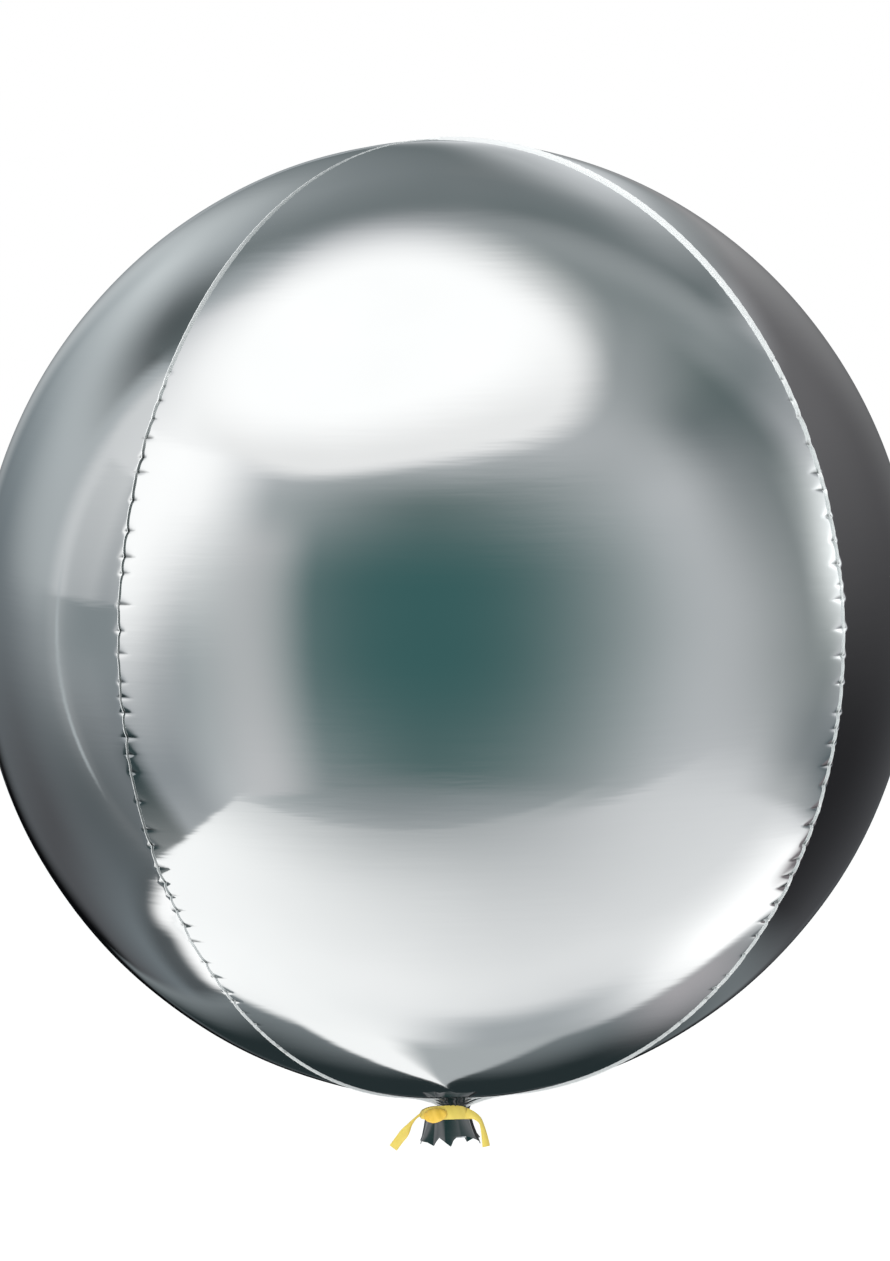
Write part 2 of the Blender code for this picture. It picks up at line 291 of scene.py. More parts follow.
def makeStudio():
    print("studio")
    world = bpy.data.worlds.new("studio")
    bpy.context.scene.world = world
    world.use_nodes = True
    world.cycles.sampling_method = "NONE"  # the film's own reflections find the panels
    tree = world.node_tree
    tree.nodes.clear()
    gain = 1 / studio["filmShare"]
    aim = addNode(tree, "ShaderNodeTexCoord").outputs["Generated"]
    part = addNode(tree, "ShaderNodeSeparateXYZ", {0: aim}).outputs
    ahead = calculate(tree, "MULTIPLY", part["Y"], -1.0)
    azimuth = calculate(tree, "DEGREES", calculate(tree, "ARCTAN2", part["X"], ahead))
    elevation = calculate(tree, "DEGREES", calculate(tree, "ARCSINE", part["Z"]))
    steep = calculate(tree, "MAXIMUM", calculate(tree, "ABSOLUTE", part["Z"]), 0.05)
    planX = calculate(tree, "DIVIDE", part["X"], steep)
    planY = calculate(tree, "DIVIDE", ahead, steep)
    # the panels of the planes above and below are moved out of sight near the horizon and beyond it
    notAbove = calculate(tree, "LESS_THAN", part["Z"], studio["horizon"])
    notBelow = calculate(tree, "GREATER_THAN", part["Z"], -studio["horizon"])
    overhead = calculate(tree, "MULTIPLY_ADD", notAbove, 1000.0, planX)
    beneath = calculate(tree, "MULTIPLY_ADD", notBelow, 1000.0, planX)
    behind = calculate(tree, "WRAP", azimuth, 360.0, 0.0)
    turn = math.radians(studio["sheetTurn"])
    along, over = math.cos(turn), math.sin(turn)
    sheetX = calculate(tree, "MULTIPLY_ADD", beneath, along, calculate(tree, "MULTIPLY", planY, over))
    sheetY = calculate(tree, "MULTIPLY_ADD", planY, along, calculate(tree, "MULTIPLY", planX, -over))
    tipX, tipY = studio["pathTip"]
    reach = calculate(tree, "MAXIMUM", calculate(tree, "SUBTRACT", planY, tipY), 0.02)
    fromTip = calculate(tree, "SUBTRACT", beneath, tipX)
    fromTip = calculate(tree, "MULTIPLY_ADD", reach, -studio["pathLean"], fromTip)
    pathX = calculate(tree, "DIVIDE", fromTip, calculate(tree, "POWER", reach, studio["pathFlare"]))
    place = addNode(tree, "ShaderNodeCombineXYZ", {0: overhead, 1: planY}).outputs[0]
    light = addNode(tree, "ShaderNodeRGB").outputs[0]
    light.default_value = paint(*studio["room"], gain)
    softPanel = softPanelGroup()
    layers = (
        ("walls", azimuth, elevation),
        ("backWalls", behind, elevation),
        ("beams", overhead, planY),
        ("sheet", sheetX, sheetY),
        ("floor", beneath, planY),
        ("path", pathX, planY),
    )
    for layer, across, up in layers:
        for label, left, right, low, high, *soft, colour, brightness in studio[layer]:
            panel = addNode(tree, "ShaderNodeGroup", node_tree=softPanel, label=label)
            values = {"Under": light, "Light": paint(*colour, gain * brightness), "Across": across, "Up": up}
            edges = zip(("Left", "Right", "Low", "High"), (left, right, low, high), soft, (-1, 1, -1, 1))
            for edge, at, width, outward in edges:
                values[edge + " from"] = at + outward * width / 2
                values[edge + " to"] = at - outward * width / 2
            fillInputs(tree, panel, values)
            light = panel.outputs[0]
    roundPanel = roundPanelGroup()
    for label, middleX, middleY, halfX, halfY, square, soft, colour, brightness in studio["ceiling"]:
        panel = addNode(tree, "ShaderNodeGroup", node_tree=roundPanel, label=label)
        fillInputs(tree, panel, {
            "Under": light,
            "Light": paint(*colour, gain * brightness),
            "Place": place,
            "Middle": (middleX, middleY, 0.0),
            "Half": (halfX, halfY, 1.0),
            "Square": square,
            "Soft": soft,
        })
        light = panel.outputs[0]
    seen = addNode(tree, "ShaderNodeLightPath").outputs["Is Camera Ray"]
    lit = addNode(tree, "ShaderNodeBackground", {"Color": light}).outputs[0]
    backdrop = addNode(tree, "ShaderNodeBackground", {"Color": (1.0, 1.0, 1.0, 1.0)}).outputs[0]
    shown = addNode(tree, "ShaderNodeMixShader", {0: seen, 1: lit, 2: backdrop}).outputs[0]
    output = addNode(tree, "ShaderNodeOutputWorld")
    tree.links.new(shown, output.inputs[0])


floor = {
    "size": 60.0,
    "height": -1.2,
    "tone": (0.82, 0.82, 0.81),
    "glow": 0.55,  # keeps the floor as pale as the background
    "roughness": 0.7,
    "cloudScale": 3.0,
    "cloudShare": 0.97,  # how light its darker places are
}


def makeFloor():
    print("floor")
    clearSelection()
    bpy.ops.mesh.primitive_plane_add(size=floor["size"], location=(0, 0, floor["height"]))
    ground = bpy.context.object
    ground.name = "floor"
    material, tree, shader = newMaterial("paleFloor")
    place = addNode(tree, "ShaderNodeTexCoord").outputs["Object"]
    cloud = addNode(
        tree, "ShaderNodeTexNoise", {"Vector": place, "Scale": floor["cloudScale"], "Detail": 4.0}
    ).outputs["Fac"]
    tone = floor["tone"]
    darker = tuple(value * floor["cloudShare"] for value in tone)
    fillInputs(tree, shader, {
        "Base Color": mixColour(tree, cloud, (*darker, 1.0), (*tone, 1.0)),
        "Roughness": floor["roughness"],
        "Emission Color": (1.0, 1.0, 1.0, 1.0),
        "Emission Strength": floor["glow"],
    })
    ground.data.materials.append(material)
    ground.visible_glossy = False
    ground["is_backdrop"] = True


lamps = {
    "overhead": {"at": (-0.6, -1.2, 2.6), "size": 2.4, "power": 70},
    "front": {"at": (-1.6, -2.6, 0.6), "size": 1.8, "power": 50},
}


def makeLamps():
    print("lamps")
    for name, lamp in lamps.items():
        place = Vector(lamp["at"])
        bpy.ops.object.light_add(type="AREA", location=place)
        made = bpy.context.object
        made.name = name
        made.rotation_mode = "QUATERNION"
        made.rotation_quaternion = (-place).to_track_quat("-Z", "Y")
        made.data.shape = "DISK"
        made.data.size = lamp["size"]
        made.data.energy = lamp["power"]
        made.visible_camera = False
        made.visible_glossy = False


# Helpers for modelling

def clearSelection():
    if bpy.context.mode != "OBJECT":
        bpy.ops.object.mode_set(mode="OBJECT")
    bpy.ops.object.select_all(action="DESELECT")


def readTriples(items, key):
    values = np.empty(len(items) * 3)
    items.foreach_get(key, values)
    return values.reshape(-1, 3)


def readPoints(piece):
    return readTriples(piece.data.vertices, "co")


def writePoints(piece, x, y, z):
    points = np.stack([x, y, z], axis=-1)
    piece.data.vertices.foreach_set("co", points.ravel())
    piece.data.update()


def addGrid(name, columns, rows):
    # a flat grid, -0.5 to 0.5 both ways, to be drawn into shape
    clearSelection()
    bpy.ops.mesh.primitive_grid_add(x_subdivisions=columns, y_subdivisions=rows, size=1)
    piece = bpy.context.object
    piece.name = name
    piece.data.name = name
    return piece


def paintFilmShade(piece, amount):
    # paints shade into the film's colour where it folds in on itself, in the throat's gathers and along the
    # seals
    piece.data.attributes.new("crease", "FLOAT", "POINT").data.foreach_set("value", np.clip(amount, 0, 1))


def addSleeve(name, sides, rings):
    # an open sleeve of radius 1 from -0.5 to 0.5, with its rings cut in edit mode
    clearSelection()
    bpy.ops.mesh.primitive_cylinder_add(vertices=sides, radius=1, depth=1, end_fill_type="NOTHING")
    piece = bpy.context.object
    piece.name = name
    piece.data.name = name
    bpy.ops.object.mode_set(mode="EDIT")
    bpy.ops.mesh.select_all(action="DESELECT")
    bpy.ops.mesh.select_mode(type="EDGE")
    bpy.ops.object.mode_set(mode="OBJECT")
    mesh = piece.data
    for edge in mesh.edges:
        low, high = (mesh.vertices[index].co.z for index in edge.vertices)
        edge.select = abs(high - low) > 0.5
    bpy.ops.object.mode_set(mode="EDIT")
    bpy.ops.mesh.subdivide(number_cuts=rings)
    bpy.ops.object.mode_set(mode="OBJECT")
    return piece


def choose(piece):
    clearSelection()
    piece.select_set(True)
    bpy.context.view_layer.objects.active = piece


def applyModifier(piece, kind, **settings):
    choose(piece)
    modifier = piece.modifiers.new(kind.lower(), kind)
    for name, value in settings.items():
        setattr(modifier, name, value)
    bpy.ops.object.modifier_apply(modifier=modifier.name)


smoothBelow = 55  # degrees between faces


def finishPiece(piece, material, slot, *nodes):
    choose(piece)
    bpy.ops.object.shade_smooth_by_angle(angle=math.radians(smoothBelow))
    piece.data.materials.clear()
    piece.data.materials.append(material)
    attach(piece, "root")
    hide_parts(*nodes)


# Envelope

envelope = {
    "width": 0.392,
    "height": 0.400,
    "seamSwell": 0.020,  # the section's corners stand out at the seams by this share
    "endTaper": 0.013,
    "thickness": 0.00025,
    "columns": 84,
    "rows": 860,
    "columnCrowding": 1.5,  # over 1 crowds the columns towards the seams
    "rowCrowding": (1.6, 0.44, 0.28),  # how much closer the rows are, round which share of them, how far
    "innerShare": 0.15,  # faces kept on the inner side, which never shows
    "neckHole": 0.0066,
    "crownHole": 0.00012,
    "edgeGap": 0.00010,  # from the seam's middle plane to the film's edge
    "funnelRadius": 0.032,  # the film runs down into the throat within this radius
    "funnelDepth": 0.0055,
    "gathers": 26,
    "gatherDepth": 0.0008,
    "gatherReach": 0.0060,
    "waviness": 0.00007,
    "waveFrom": 0.02,  # full waves start this far from a seam
}

goreCount = 4
halfGore = math.pi / goreCount
halfWidth = envelope["width"] / 2
halfHeight = envelope["height"] / 2
goreNames = ("front", "right", "back", "left")
sealNames = ("front_right", "back_right", "back_left", "front_left")


def shellPoint(latitude, angle, offset):
    # radius and height of the envelope, or of a surface outside it by the offset
    swell = 1 + envelope["seamSwell"] * (np.abs(angle) / halfGore) ** 4
    taper = 1 - envelope["endTaper"] * np.sin(latitude) ** 2
    radius = (halfWidth * swell + offset) * taper * np.cos(latitude)
    return radius, (halfHeight + offset) * np.sin(latitude)


def funnelSink(radius, below):
    # how far the film hangs below the round shape, near the throat
    closeness = np.clip((envelope["funnelRadius"] - radius) / envelope["funnelRadius"], 0, 1)
    full = 1 - envelope["neckHole"] / envelope["funnelRadius"]
    return below * envelope["funnelDepth"] * (closeness / full) ** 2


def latitudeRange(lowRadius, highRadius):
    reach = halfWidth * (1 - envelope["endTaper"])
    return -math.acos(lowRadius / reach), math.acos(highRadius / reach)


# Puckers: the film is longer than the seam it is sealed into, so it folds in sharply every few millimetres.
# Lengths along a seam are measured upwards from the middle of the balloon.
puckers = {
    "seed": 11,
    "low": -0.200,
    "high": 0.118,
    "fade": 0.050,  # the ends of the row get weaker over this length
    "endStrength": 0.25,
    "endSpacing": 0.6,  # how much closer together the weak ones are
    "spacing": (0.0055, 0.0125),
    "depth": (0.00032, 0.00072),
    "longReach": (0.0030, 0.0068),  # on the front and back gores
    "shortReach": (0.0012, 0.0028),  # on the side gores
    # the painted shade above each pucker's lower lip reaches this high
    "darkHeight": 0.0019,
    "slopeAbove": 0.0017,
    "slopeBelow": 0.0007,
    "tipSlope": 0.35,  # share of the slopes that is left at a pucker's tip
    "tipDark": 0.25,  # share of the painted shade's height that is left there
    "sharpness": 1.4,  # over 1 lets the depth fall off faster towards the tip
    "reach": 0.02,  # up and down the seam
    "darkness": 2.2,  # over 1 keeps a pucker's painted shade dark for longer towards its tip
    "widthSpread": (0.7, 1.3),  # how narrow and how wide they come
    "sideSpread": (0.4, 1.0),
    "swing": 0.00035,  # sideways steps of the seam line
    "swingReach": 0.0040,  # how far the film follows them
    "flutter": 0.0006,  # sideways folds of the flange's edge
    "flutterHeight": 0.0019,
}


def blend(least, share):
    # from the least value to 1
    return least + (1 - least) * share


def makePuckers(seam):
    draw = random.Random(puckers["seed"] + seam)
    before, after = ("longReach", "shortReach") if seam % 2 == 0 else ("shortReach", "longReach")
    found = []
    along = puckers["low"]
    while along < puckers["high"]:
        inside = min(along - puckers["low"], puckers["high"] - along)
        strength = blend(puckers["endStrength"], min(1.0, inside / puckers["fade"]))
        found.append({
            "along": along,
            "depth": strength * draw.uniform(*puckers["depth"]),
            "before": strength * draw.uniform(*puckers[before]),
            "after": strength * draw.uniform(*puckers[after]),
            "width": draw.uniform(*puckers["widthSpread"]),
            "side": draw.choice((-1, 1)) * draw.uniform(*puckers["sideSpread"]) * strength,
        })
        along += draw.uniform(*puckers["spacing"]) * blend(puckers["endSpacing"], strength)
    return found


seamPuckers = [makePuckers(seam) for seam in range(goreCount)]


def puckerDepth(seam, along, away, side):
    # how deep the film is folded in, and how dark the painted shade in the fold is, above its sharp lower lip
    depth = np.zeros_like(along)
    dark = np.zeros_like(along)
    for pucker in seamPuckers[seam]:
        near = (away < pucker[side]) & (np.abs(along - pucker["along"]) < puckers["reach"])
        offset = along[near] - pucker["along"]
        fade = 1 - away[near] / pucker[side]
        slope = np.where(offset > 0, puckers["slopeAbove"], puckers["slopeBelow"])
        width = slope * pucker["width"] * blend(puckers["tipSlope"], fade)
        depth[near] += pucker["depth"] * fade ** puckers["sharpness"] * np.exp(-np.abs(offset) / width)
        darkHeight = puckers["darkHeight"] * pucker["width"] * blend(puckers["tipDark"], fade)
        within = np.clip(offset / darkHeight, 0, 1)
        shade = (offset > 0) * (1 - within) * np.minimum(1, puckers["darkness"] * fade)
        dark[near] = np.maximum(dark[near], shade)
    return depth, dark


def seamSwing(seam, along):
    shift = np.zeros_like(along)
    for pucker in seamPuckers[seam]:
        offset = (along - pucker["along"]) / puckers["slopeAbove"]
        shift += puckers["swing"] * pucker["side"] * np.exp(-np.abs(offset))
    return shift


def crowd(share, amount, middle, spread):
    # moves an even share, 0 to 1, so that it runs slower near the middle
    steps = np.linspace(0, 1, 2001)
    density = 1 + amount * np.exp(-(((steps - middle) / spread) ** 4))
    total = np.concatenate([[0], np.cumsum((density[1:] + density[:-1]) / 2)])
    return np.interp(share, total / total[-1], steps)


def makeGore(index):
    name = "film_" + goreNames[index]
    print("gore", goreNames[index])
    piece = addGrid(name, envelope["columns"], envelope["rows"])
    flat = readPoints(piece)
    low, high = latitudeRange(envelope["neckHole"], envelope["crownHole"])
    latitude = low + (high - low) * crowd(flat[:, 1] + 0.5, *envelope["rowCrowding"])
    side = np.sign(flat[:, 0])
    fromSeam = (1 - np.abs(2 * flat[:, 0])) ** envelope["columnCrowding"]

    seamRadius, _ = shellPoint(latitude, halfGore, 0.0)
    edgeAngle = halfGore - np.arcsin(envelope["edgeGap"] / seamRadius)
    angle = side * edgeAngle * (1 - fromSeam)
    radius, height = shellPoint(latitude, angle, 0.0)
    along = latitude * halfHeight
    away = (edgeAngle - np.abs(angle)) * radius

    # folds along both seams, with painted shade in them, and slow waves over the whole panel
    leftSeam = (index - 1) % goreCount
    onLeft = side < 0
    depth, dark = np.where(
        onLeft,
        puckerDepth(leftSeam, along, away, "after"),
        puckerDepth(index, along, away, "before"),
    )
    swing = np.where(onLeft, seamSwing(leftSeam, along), seamSwing(index, along))
    swing *= np.exp(-away / puckers["swingReach"])
    turned = angle + index * 2 * halfGore
    wave = np.sin(along * 95 + 2.1 * index) * np.cos(turned * 5 + 0.7) + np.sin(along * 41 + turned * 7)
    depth += envelope["waviness"] * wave * np.clip(away / envelope["waveFrom"], 0, 1)

    # gathers and a funnel where the film runs into the throat, with painted shade in the gathers
    outFrom = np.maximum(radius - envelope["neckHole"], 0)
    fold = np.abs(np.sin(turned * envelope["gathers"] / 2))
    below = along < 0
    gathered = below * fold * np.exp(-outFrom / envelope["gatherReach"])
    depth += envelope["gatherDepth"] * gathered
    dark += gathered ** 2
    sink = funnelSink(radius, below)

    radius = radius - depth * np.cos(latitude)
    height = height - depth * np.sin(latitude) - sink
    x = radius * np.sin(turned) + swing * np.cos(turned)
    y = -radius * np.cos(turned) + swing * np.sin(turned)
    writePoints(piece, x, y, height)
    paintFilmShade(piece, dark)
    applyModifier(piece, "SOLIDIFY", thickness=envelope["thickness"], offset=-1.0)
    thinInnerSide(piece)
    return piece


def thinInnerSide(piece):
    # the inner side needs few faces; its rim stays whole, so that the film stays closed
    faces = piece.data.polygons
    outward = (readTriples(faces, "center") * readTriples(faces, "normal")).sum(axis=1)
    inward = outward < -0.05 * halfWidth
    bpy.ops.object.mode_set(mode="EDIT")
    bpy.ops.mesh.select_mode(type="FACE")
    bpy.ops.mesh.select_all(action="DESELECT")
    bpy.ops.object.mode_set(mode="OBJECT")
    piece.data.polygons.foreach_set("select", inward)
    bpy.ops.object.mode_set(mode="EDIT")
    bpy.ops.mesh.select_less()
    bpy.ops.mesh.decimate(ratio=envelope["innerShare"])
    bpy.ops.object.mode_set(mode="OBJECT")


seals = {
    # the flange's height at four stops up the seam: the foot, the middle, near the crown and on it
    "stops": (-1.0, 0.0, 0.8, 1.3),  # shares of half the balloon's height
    "heights": {
        "front_right": (0.0008, 0.0008, 0.0015, 0.0013),
        "back_right": (0.0009, 0.0012, 0.0014, 0.0013),
        "back_left": (0.0009, 0.0012, 0.0014, 0.0010),
        "front_left": (0.0007, 0.0007, 0.0012, 0.0003),
    },
    "rootDepth": 0.0006,
    "thickness": 0.00022,
    "columns": 5,
    "rows": 1700,
    "notch": 0.00016,  # how uneven the free edge is cut
    "lean": (-2, 5, -4, 6),  # degrees, in the order of the seam names; over 0 leans to the right
    "paintedSealShade": (0.0, 0.2, 0.3, 0.85),  # painted shade: how dark each is along its middle, below the free edge
    "paintedSealShadeReach": 0.105,  # up and down from the middle
    "paintedSealShadeFade": 0.030,
    "paintedSealShadeTop": 0.9,  # it ends at this share of the flange's height
    "paintedSealShadeSoft": 0.3,
}


def makeSeal(seam):
    name = "seal_" + sealNames[seam] + "_film"
    print("seal", sealNames[seam])
    piece = addGrid(name, seals["columns"], seals["rows"])
    flat = readPoints(piece)
    across = flat[:, 0] + 0.5
    low, _ = latitudeRange(envelope["neckHole"], envelope["crownHole"])
    latitude = low + (math.pi / 2 - low) * (flat[:, 1] + 0.5)
    along = latitude * halfHeight
    ragged = np.sin(along * 1900 + seam) * np.sin(along * 731 + 2 * seam) + np.sin(along * 1177 + 3 * seam)
    notch = seals["notch"] * (0.5 + 0.25 * ragged)
    tall = np.interp(along / halfHeight, seals["stops"], seals["heights"][sealNames[seam]])
    offset = -seals["rootDepth"] + (tall + seals["rootDepth"]) * across - notch * across ** 3
    out = np.clip(offset / tall, 0, 1)
    dip, _ = puckerDepth(seam, along, np.zeros_like(along), "before")
    radius, height = shellPoint(latitude, halfGore, offset)

    lean = math.tan(math.radians(seals["lean"][seam])) * offset
    shift = seamSwing(seam, along) + np.where(offset > 0, lean, 0)
    for pucker in seamPuckers[seam]:
        near = np.exp(-(((along - pucker["along"]) / puckers["flutterHeight"]) ** 2))
        shift += puckers["flutter"] * pucker["side"] * near * out ** 1.3
    radius = radius - dip * np.cos(latitude)
    height = height - dip * np.sin(latitude) - funnelSink(radius, along < 0)

    turn = halfGore + 2 * halfGore * seam
    x = radius * math.sin(turn) + shift * math.cos(turn)
    y = -radius * math.cos(turn) + shift * math.sin(turn)
    writePoints(piece, x, y, height)
    # painted shade along the seal's middle, below its free edge
    nearMiddle = np.clip((seals["paintedSealShadeReach"] - np.abs(along)) / seals["paintedSealShadeFade"], 0, 1)
    belowEdge = np.clip((seals["paintedSealShadeTop"] - out) / seals["paintedSealShadeSoft"], 0, 1)
    paintFilmShade(piece, seals["paintedSealShade"][seam] * nearMiddle * belowEdge)
    applyModifier(piece, "SOLIDIFY", thickness=seals["thickness"], offset=0.0)
    return piece


# Neck, valve and tail, below the envelope's foot

foot = -halfHeight

neck = {
    "sides": 176,
    "rings": 40,
    "top": 0.0010,
    "bottom": -0.0112,
    # height below the envelope, centre x, half width in x, half depth in y
    "levels": [
        (0.0010, 0.0, 0.0067, 0.0067),
        (-0.0045, 0.0010, 0.0069, 0.0064),
        (-0.0075, -0.0008, 0.0078, 0.0062),
        (-0.0112, -0.0019, 0.0090, 0.0060),
    ],
    "folds": 22,
    "foldDepth": 0.00055,
    "foldSharpness": 0.7,  # under 1 narrows the ridges between the folds
    "foldWander": 0.25,
    "thickness": 0.0002,
}


def ovalSection(levels, z):
    heights = [level[0] for level in levels][::-1]
    columns = []
    for column in (1, 2, 3):
        columns.append(np.interp(z, heights, [level[column] for level in levels][::-1]))
    return columns


def makeNeck():
    print("neck")
    piece = addSleeve("neck_film", neck["sides"], neck["rings"])
    flat = readPoints(piece)
    angle = np.arctan2(flat[:, 1], flat[:, 0])
    z = neck["bottom"] + (neck["top"] - neck["bottom"]) * (flat[:, 2] + 0.5)
    centreX, halfX, halfY = ovalSection(neck["levels"], z)
    # the folds wander a little, so they don't run straight down
    wander = neck["foldWander"] * np.sin(z * 520 + 3 * angle)
    fold = np.abs(np.sin(neck["folds"] / 2 * angle + wander)) ** neck["foldSharpness"]
    inset = neck["foldDepth"] * fold * (1 + 0.5 * np.sin(angle * 5 + 1.0))
    x = centreX + (halfX - inset) * np.cos(angle)
    y = (halfY - inset) * np.sin(angle)
    writePoints(piece, x, y, foot + z)
    applyModifier(piece, "SOLIDIFY", thickness=neck["thickness"], offset=-1.0)
    return piece


tail = {
    "sides": 240,
    "rings": 34,
    "top": -0.0095,
    "bottom": -0.0222,
    "levels": [
        (-0.0095, -0.0022, 0.0096, 0.0066),
        (-0.0117, -0.0022, 0.0101, 0.0066),
        (-0.0150, -0.0020, 0.0109, 0.0064),
        (-0.0190, -0.0017, 0.0121, 0.0059),
        (-0.0222, -0.0015, 0.0129, 0.0056),
    ],
    # folds round the front film: degrees from the left, and how far out in millimetres
    "pleats": [(0, -0.3), (20, 0.6), (50, -1.1), (79, 1.3), (110, 0.7), (139, 1.7), (160, 0.3), (180, -0.4)],
    # its cut edge: degrees from the left, and how far above the lowest point in millimetres
    "hem": [
        (0, 2.6), (36, 1.6), (51, 0.0), (59, 2.0), (67, 3.8), (77, 2.2), (88, 0.0), (93, 2.8), (99, 4.0),
        (119, 4.1), (140, 2.2), (164, 0.0), (180, 0.9)
    ],
    "thickness": 0.0002,
    "topPleat": 0.35,  # how deep the folds are under the ribbon, as a share of their depth at the hem
    "gap": 0.0001,  # from the middle plane to each film
}


def makeTail(name, way):
    # way is -1 for the front film and 1 for the back one
    print("tail", name)
    piece = addSleeve(name, tail["sides"], tail["rings"])
    bpy.ops.object.mode_set(mode="EDIT")
    bpy.ops.mesh.select_all(action="SELECT")
    bpy.ops.mesh.bisect(plane_co=(0, 0, 0), plane_no=(0, -way, 0), clear_outer=True)
    bpy.ops.object.mode_set(mode="OBJECT")
    flat = readPoints(piece)
    angle = np.arctan2(flat[:, 1], flat[:, 0])
    down = 0.5 - flat[:, 2]
    z = tail["top"] + (tail["bottom"] - tail["top"]) * down
    centreX, halfX, halfY = ovalSection(tail["levels"], z)
    fromLeft = np.degrees(np.arccos(np.clip(-np.cos(angle), -1, 1)))
    if way > 0:
        fromLeft = 180 - fromLeft
    out, lift = (0.001 * np.interp(fromLeft, *zip(*tail[edge])) for edge in ("pleats", "hem"))
    out = out * blend(tail["topPleat"], down)
    lift = lift * np.clip(down * 3 - 2, 0, 1)  # only the lowest third follows the cut edge
    x = centreX + (halfX + out) * np.cos(angle)
    y = (halfY + out) * np.sin(angle) + way * tail["gap"]
    z = z + lift
    writePoints(piece, x, y, foot + z)
    applyModifier(piece, "SOLIDIFY", thickness=tail["thickness"], offset=-1.0)
    return piece


valve = {
    "sides": 48,
    "rings": 30,
    "halfWidth": 0.0052,
    "top": 0.0025,
    "bottom": -0.0196,
    "gap": 0.00015,  # from its middle plane to each layer
    "mouthOpening": 0.0009,
    "bow": 0.0008,
    "thickness": 0.00012,
}


def makeValve():
    # two layers of soft film, sealed down both sides and open at the mouth
    print("valve")
    piece = addSleeve("valve_sleeve", valve["sides"], valve["rings"])
    flat = readPoints(piece)
    angle = np.arctan2(flat[:, 1], flat[:, 0])
    z = valve["bottom"] + (valve["top"] - valve["bottom"]) * (flat[:, 2] + 0.5)
    down = 0.5 - flat[:, 2]
    mouth = np.clip(down * 4 - 3, 0, 1)  # the lowest quarter opens
    bow = valve["bow"] * np.sin(z * 260)
    x = valve["halfWidth"] * np.cos(angle)
    opening = valve["gap"] + valve["mouthOpening"] * mouth
    y = opening * np.sin(angle) + bow * (1 - np.cos(angle) ** 2)
    writePoints(piece, x, y, foot + z)
    applyModifier(piece, "SOLIDIFY", thickness=valve["thickness"], offset=-1.0)
    return piece


# Curling ribbon

ribbon = {
    "width": 0.0050,
    "thickness": 0.0003,
    "bandGrid": (160, 12),
    "knotGrid": (36, 44),
    "endGrid": (10, 60),
    "bandCentreX": -0.0026,
    "bandHalfX": 0.0121,
    "bandHalfY": 0.0092,
    "bandHeight": -0.0072,  # in the middle of its front; it drops towards both sides
    "bandHalf": 0.0029,  # the loop is two turns, one a little over the other
    "dropLeft": 0.0015,
    "dropRight": 0.0030,
    "dropBack": 0.0027,
    "narrowLeft": 0.5,  # by which share the loop narrows at its left and right ends
    "narrowRight": 0.55,
    "bandTaper": 0.0008,
    "knotFrom": 212,
    "knotTo": 264,
    "knotDrop": 0.0008,
    "knotBulge": 0.0016,
    "knotEnds": 0.35,  # how full it is at its pinched ends
    "knotWrap": 1.1,  # half turns that it wraps round the band
    "knotHeight": 1.08,  # of the band's width
    "knotLift": 0.0002,  # off the band at its edges
    "knotPleat": 0.00014,
    "bandCrease": 0.00012,
    # routes of the free ends in millimetres, then the share of the width and the twist in degrees
    "leftEnd": [
        (-14.4, -3.2, -8.6, 0.30, 60),
        (-16.3, -3.9, -9.7, 0.26, 62),
        (-18.8, -4.6, -12.2, 0.46, 44),
        (-21.2, -5.2, -15.5, 0.86, 26),
        (-23.8, -5.8, -18.6, 0.90, 32),
        (-26.4, -6.2, -21.9, 0.92, 34),
    ],
    "rightEnd": [
        (4.6, -6.7, -7.9, 0.86, 0),
        (7.1, -7.1, -8.7, 0.64, 6),
        (9.5, -7.2, -10.3, 0.48, 16),
        (10.9, -7.3, -12.4, 0.38, 28),
        (11.9, -7.5, -16.5, 0.52, 26),
        (12.5, -7.6, -20.0, 0.64, 22),
        (12.8, -7.7, -22.3, 0.68, 18),
    ],
    "cup": 0.0004,
}


def bandPoint(angle, across, out):
    # across runs from -1, the lower edge, to 1, the upper one
    turn = np.cos(angle)
    toLeft, toRight = np.maximum(-turn, 0), np.maximum(turn, 0)
    drop = ribbon["dropLeft"] * toLeft ** 2 + ribbon["dropRight"] * toRight ** 2.7
    drop += ribbon["dropBack"] * np.maximum(np.sin(angle), 0)
    narrow = ribbon["narrowRight"] * toRight ** 3 + ribbon["narrowLeft"] * toLeft ** 6
    z = ribbon["bandHeight"] - drop + across * ribbon["bandHalf"] * (1 - narrow)
    narrowing = ribbon["bandTaper"] * (1 + across) / 2
    x = ribbon["bandCentreX"] + (ribbon["bandHalfX"] - narrowing + out) * np.cos(angle)
    y = (ribbon["bandHalfY"] - narrowing + out) * np.sin(angle)
    return x, y, z


def makeBand():
    print("ribbon band")
    piece = addSleeve("ribbon_loop", *ribbon["bandGrid"])
    flat = readPoints(piece)
    angle = np.arctan2(flat[:, 1], flat[:, 0])
    across = 2 * flat[:, 2]
    # the edges curl in, and the band creases a little where it is drawn tight
    crease = np.sin(angle * 13 + 2 * across) * np.sin(angle * 5)
    out = ribbon["bandCrease"] * crease - ribbon["cup"] * across ** 2
    x, y, z = bandPoint(angle, across, out)
    writePoints(piece, x, y, foot + z)
    applyModifier(piece, "SOLIDIFY", thickness=ribbon["thickness"], offset=-1.0)
    return piece


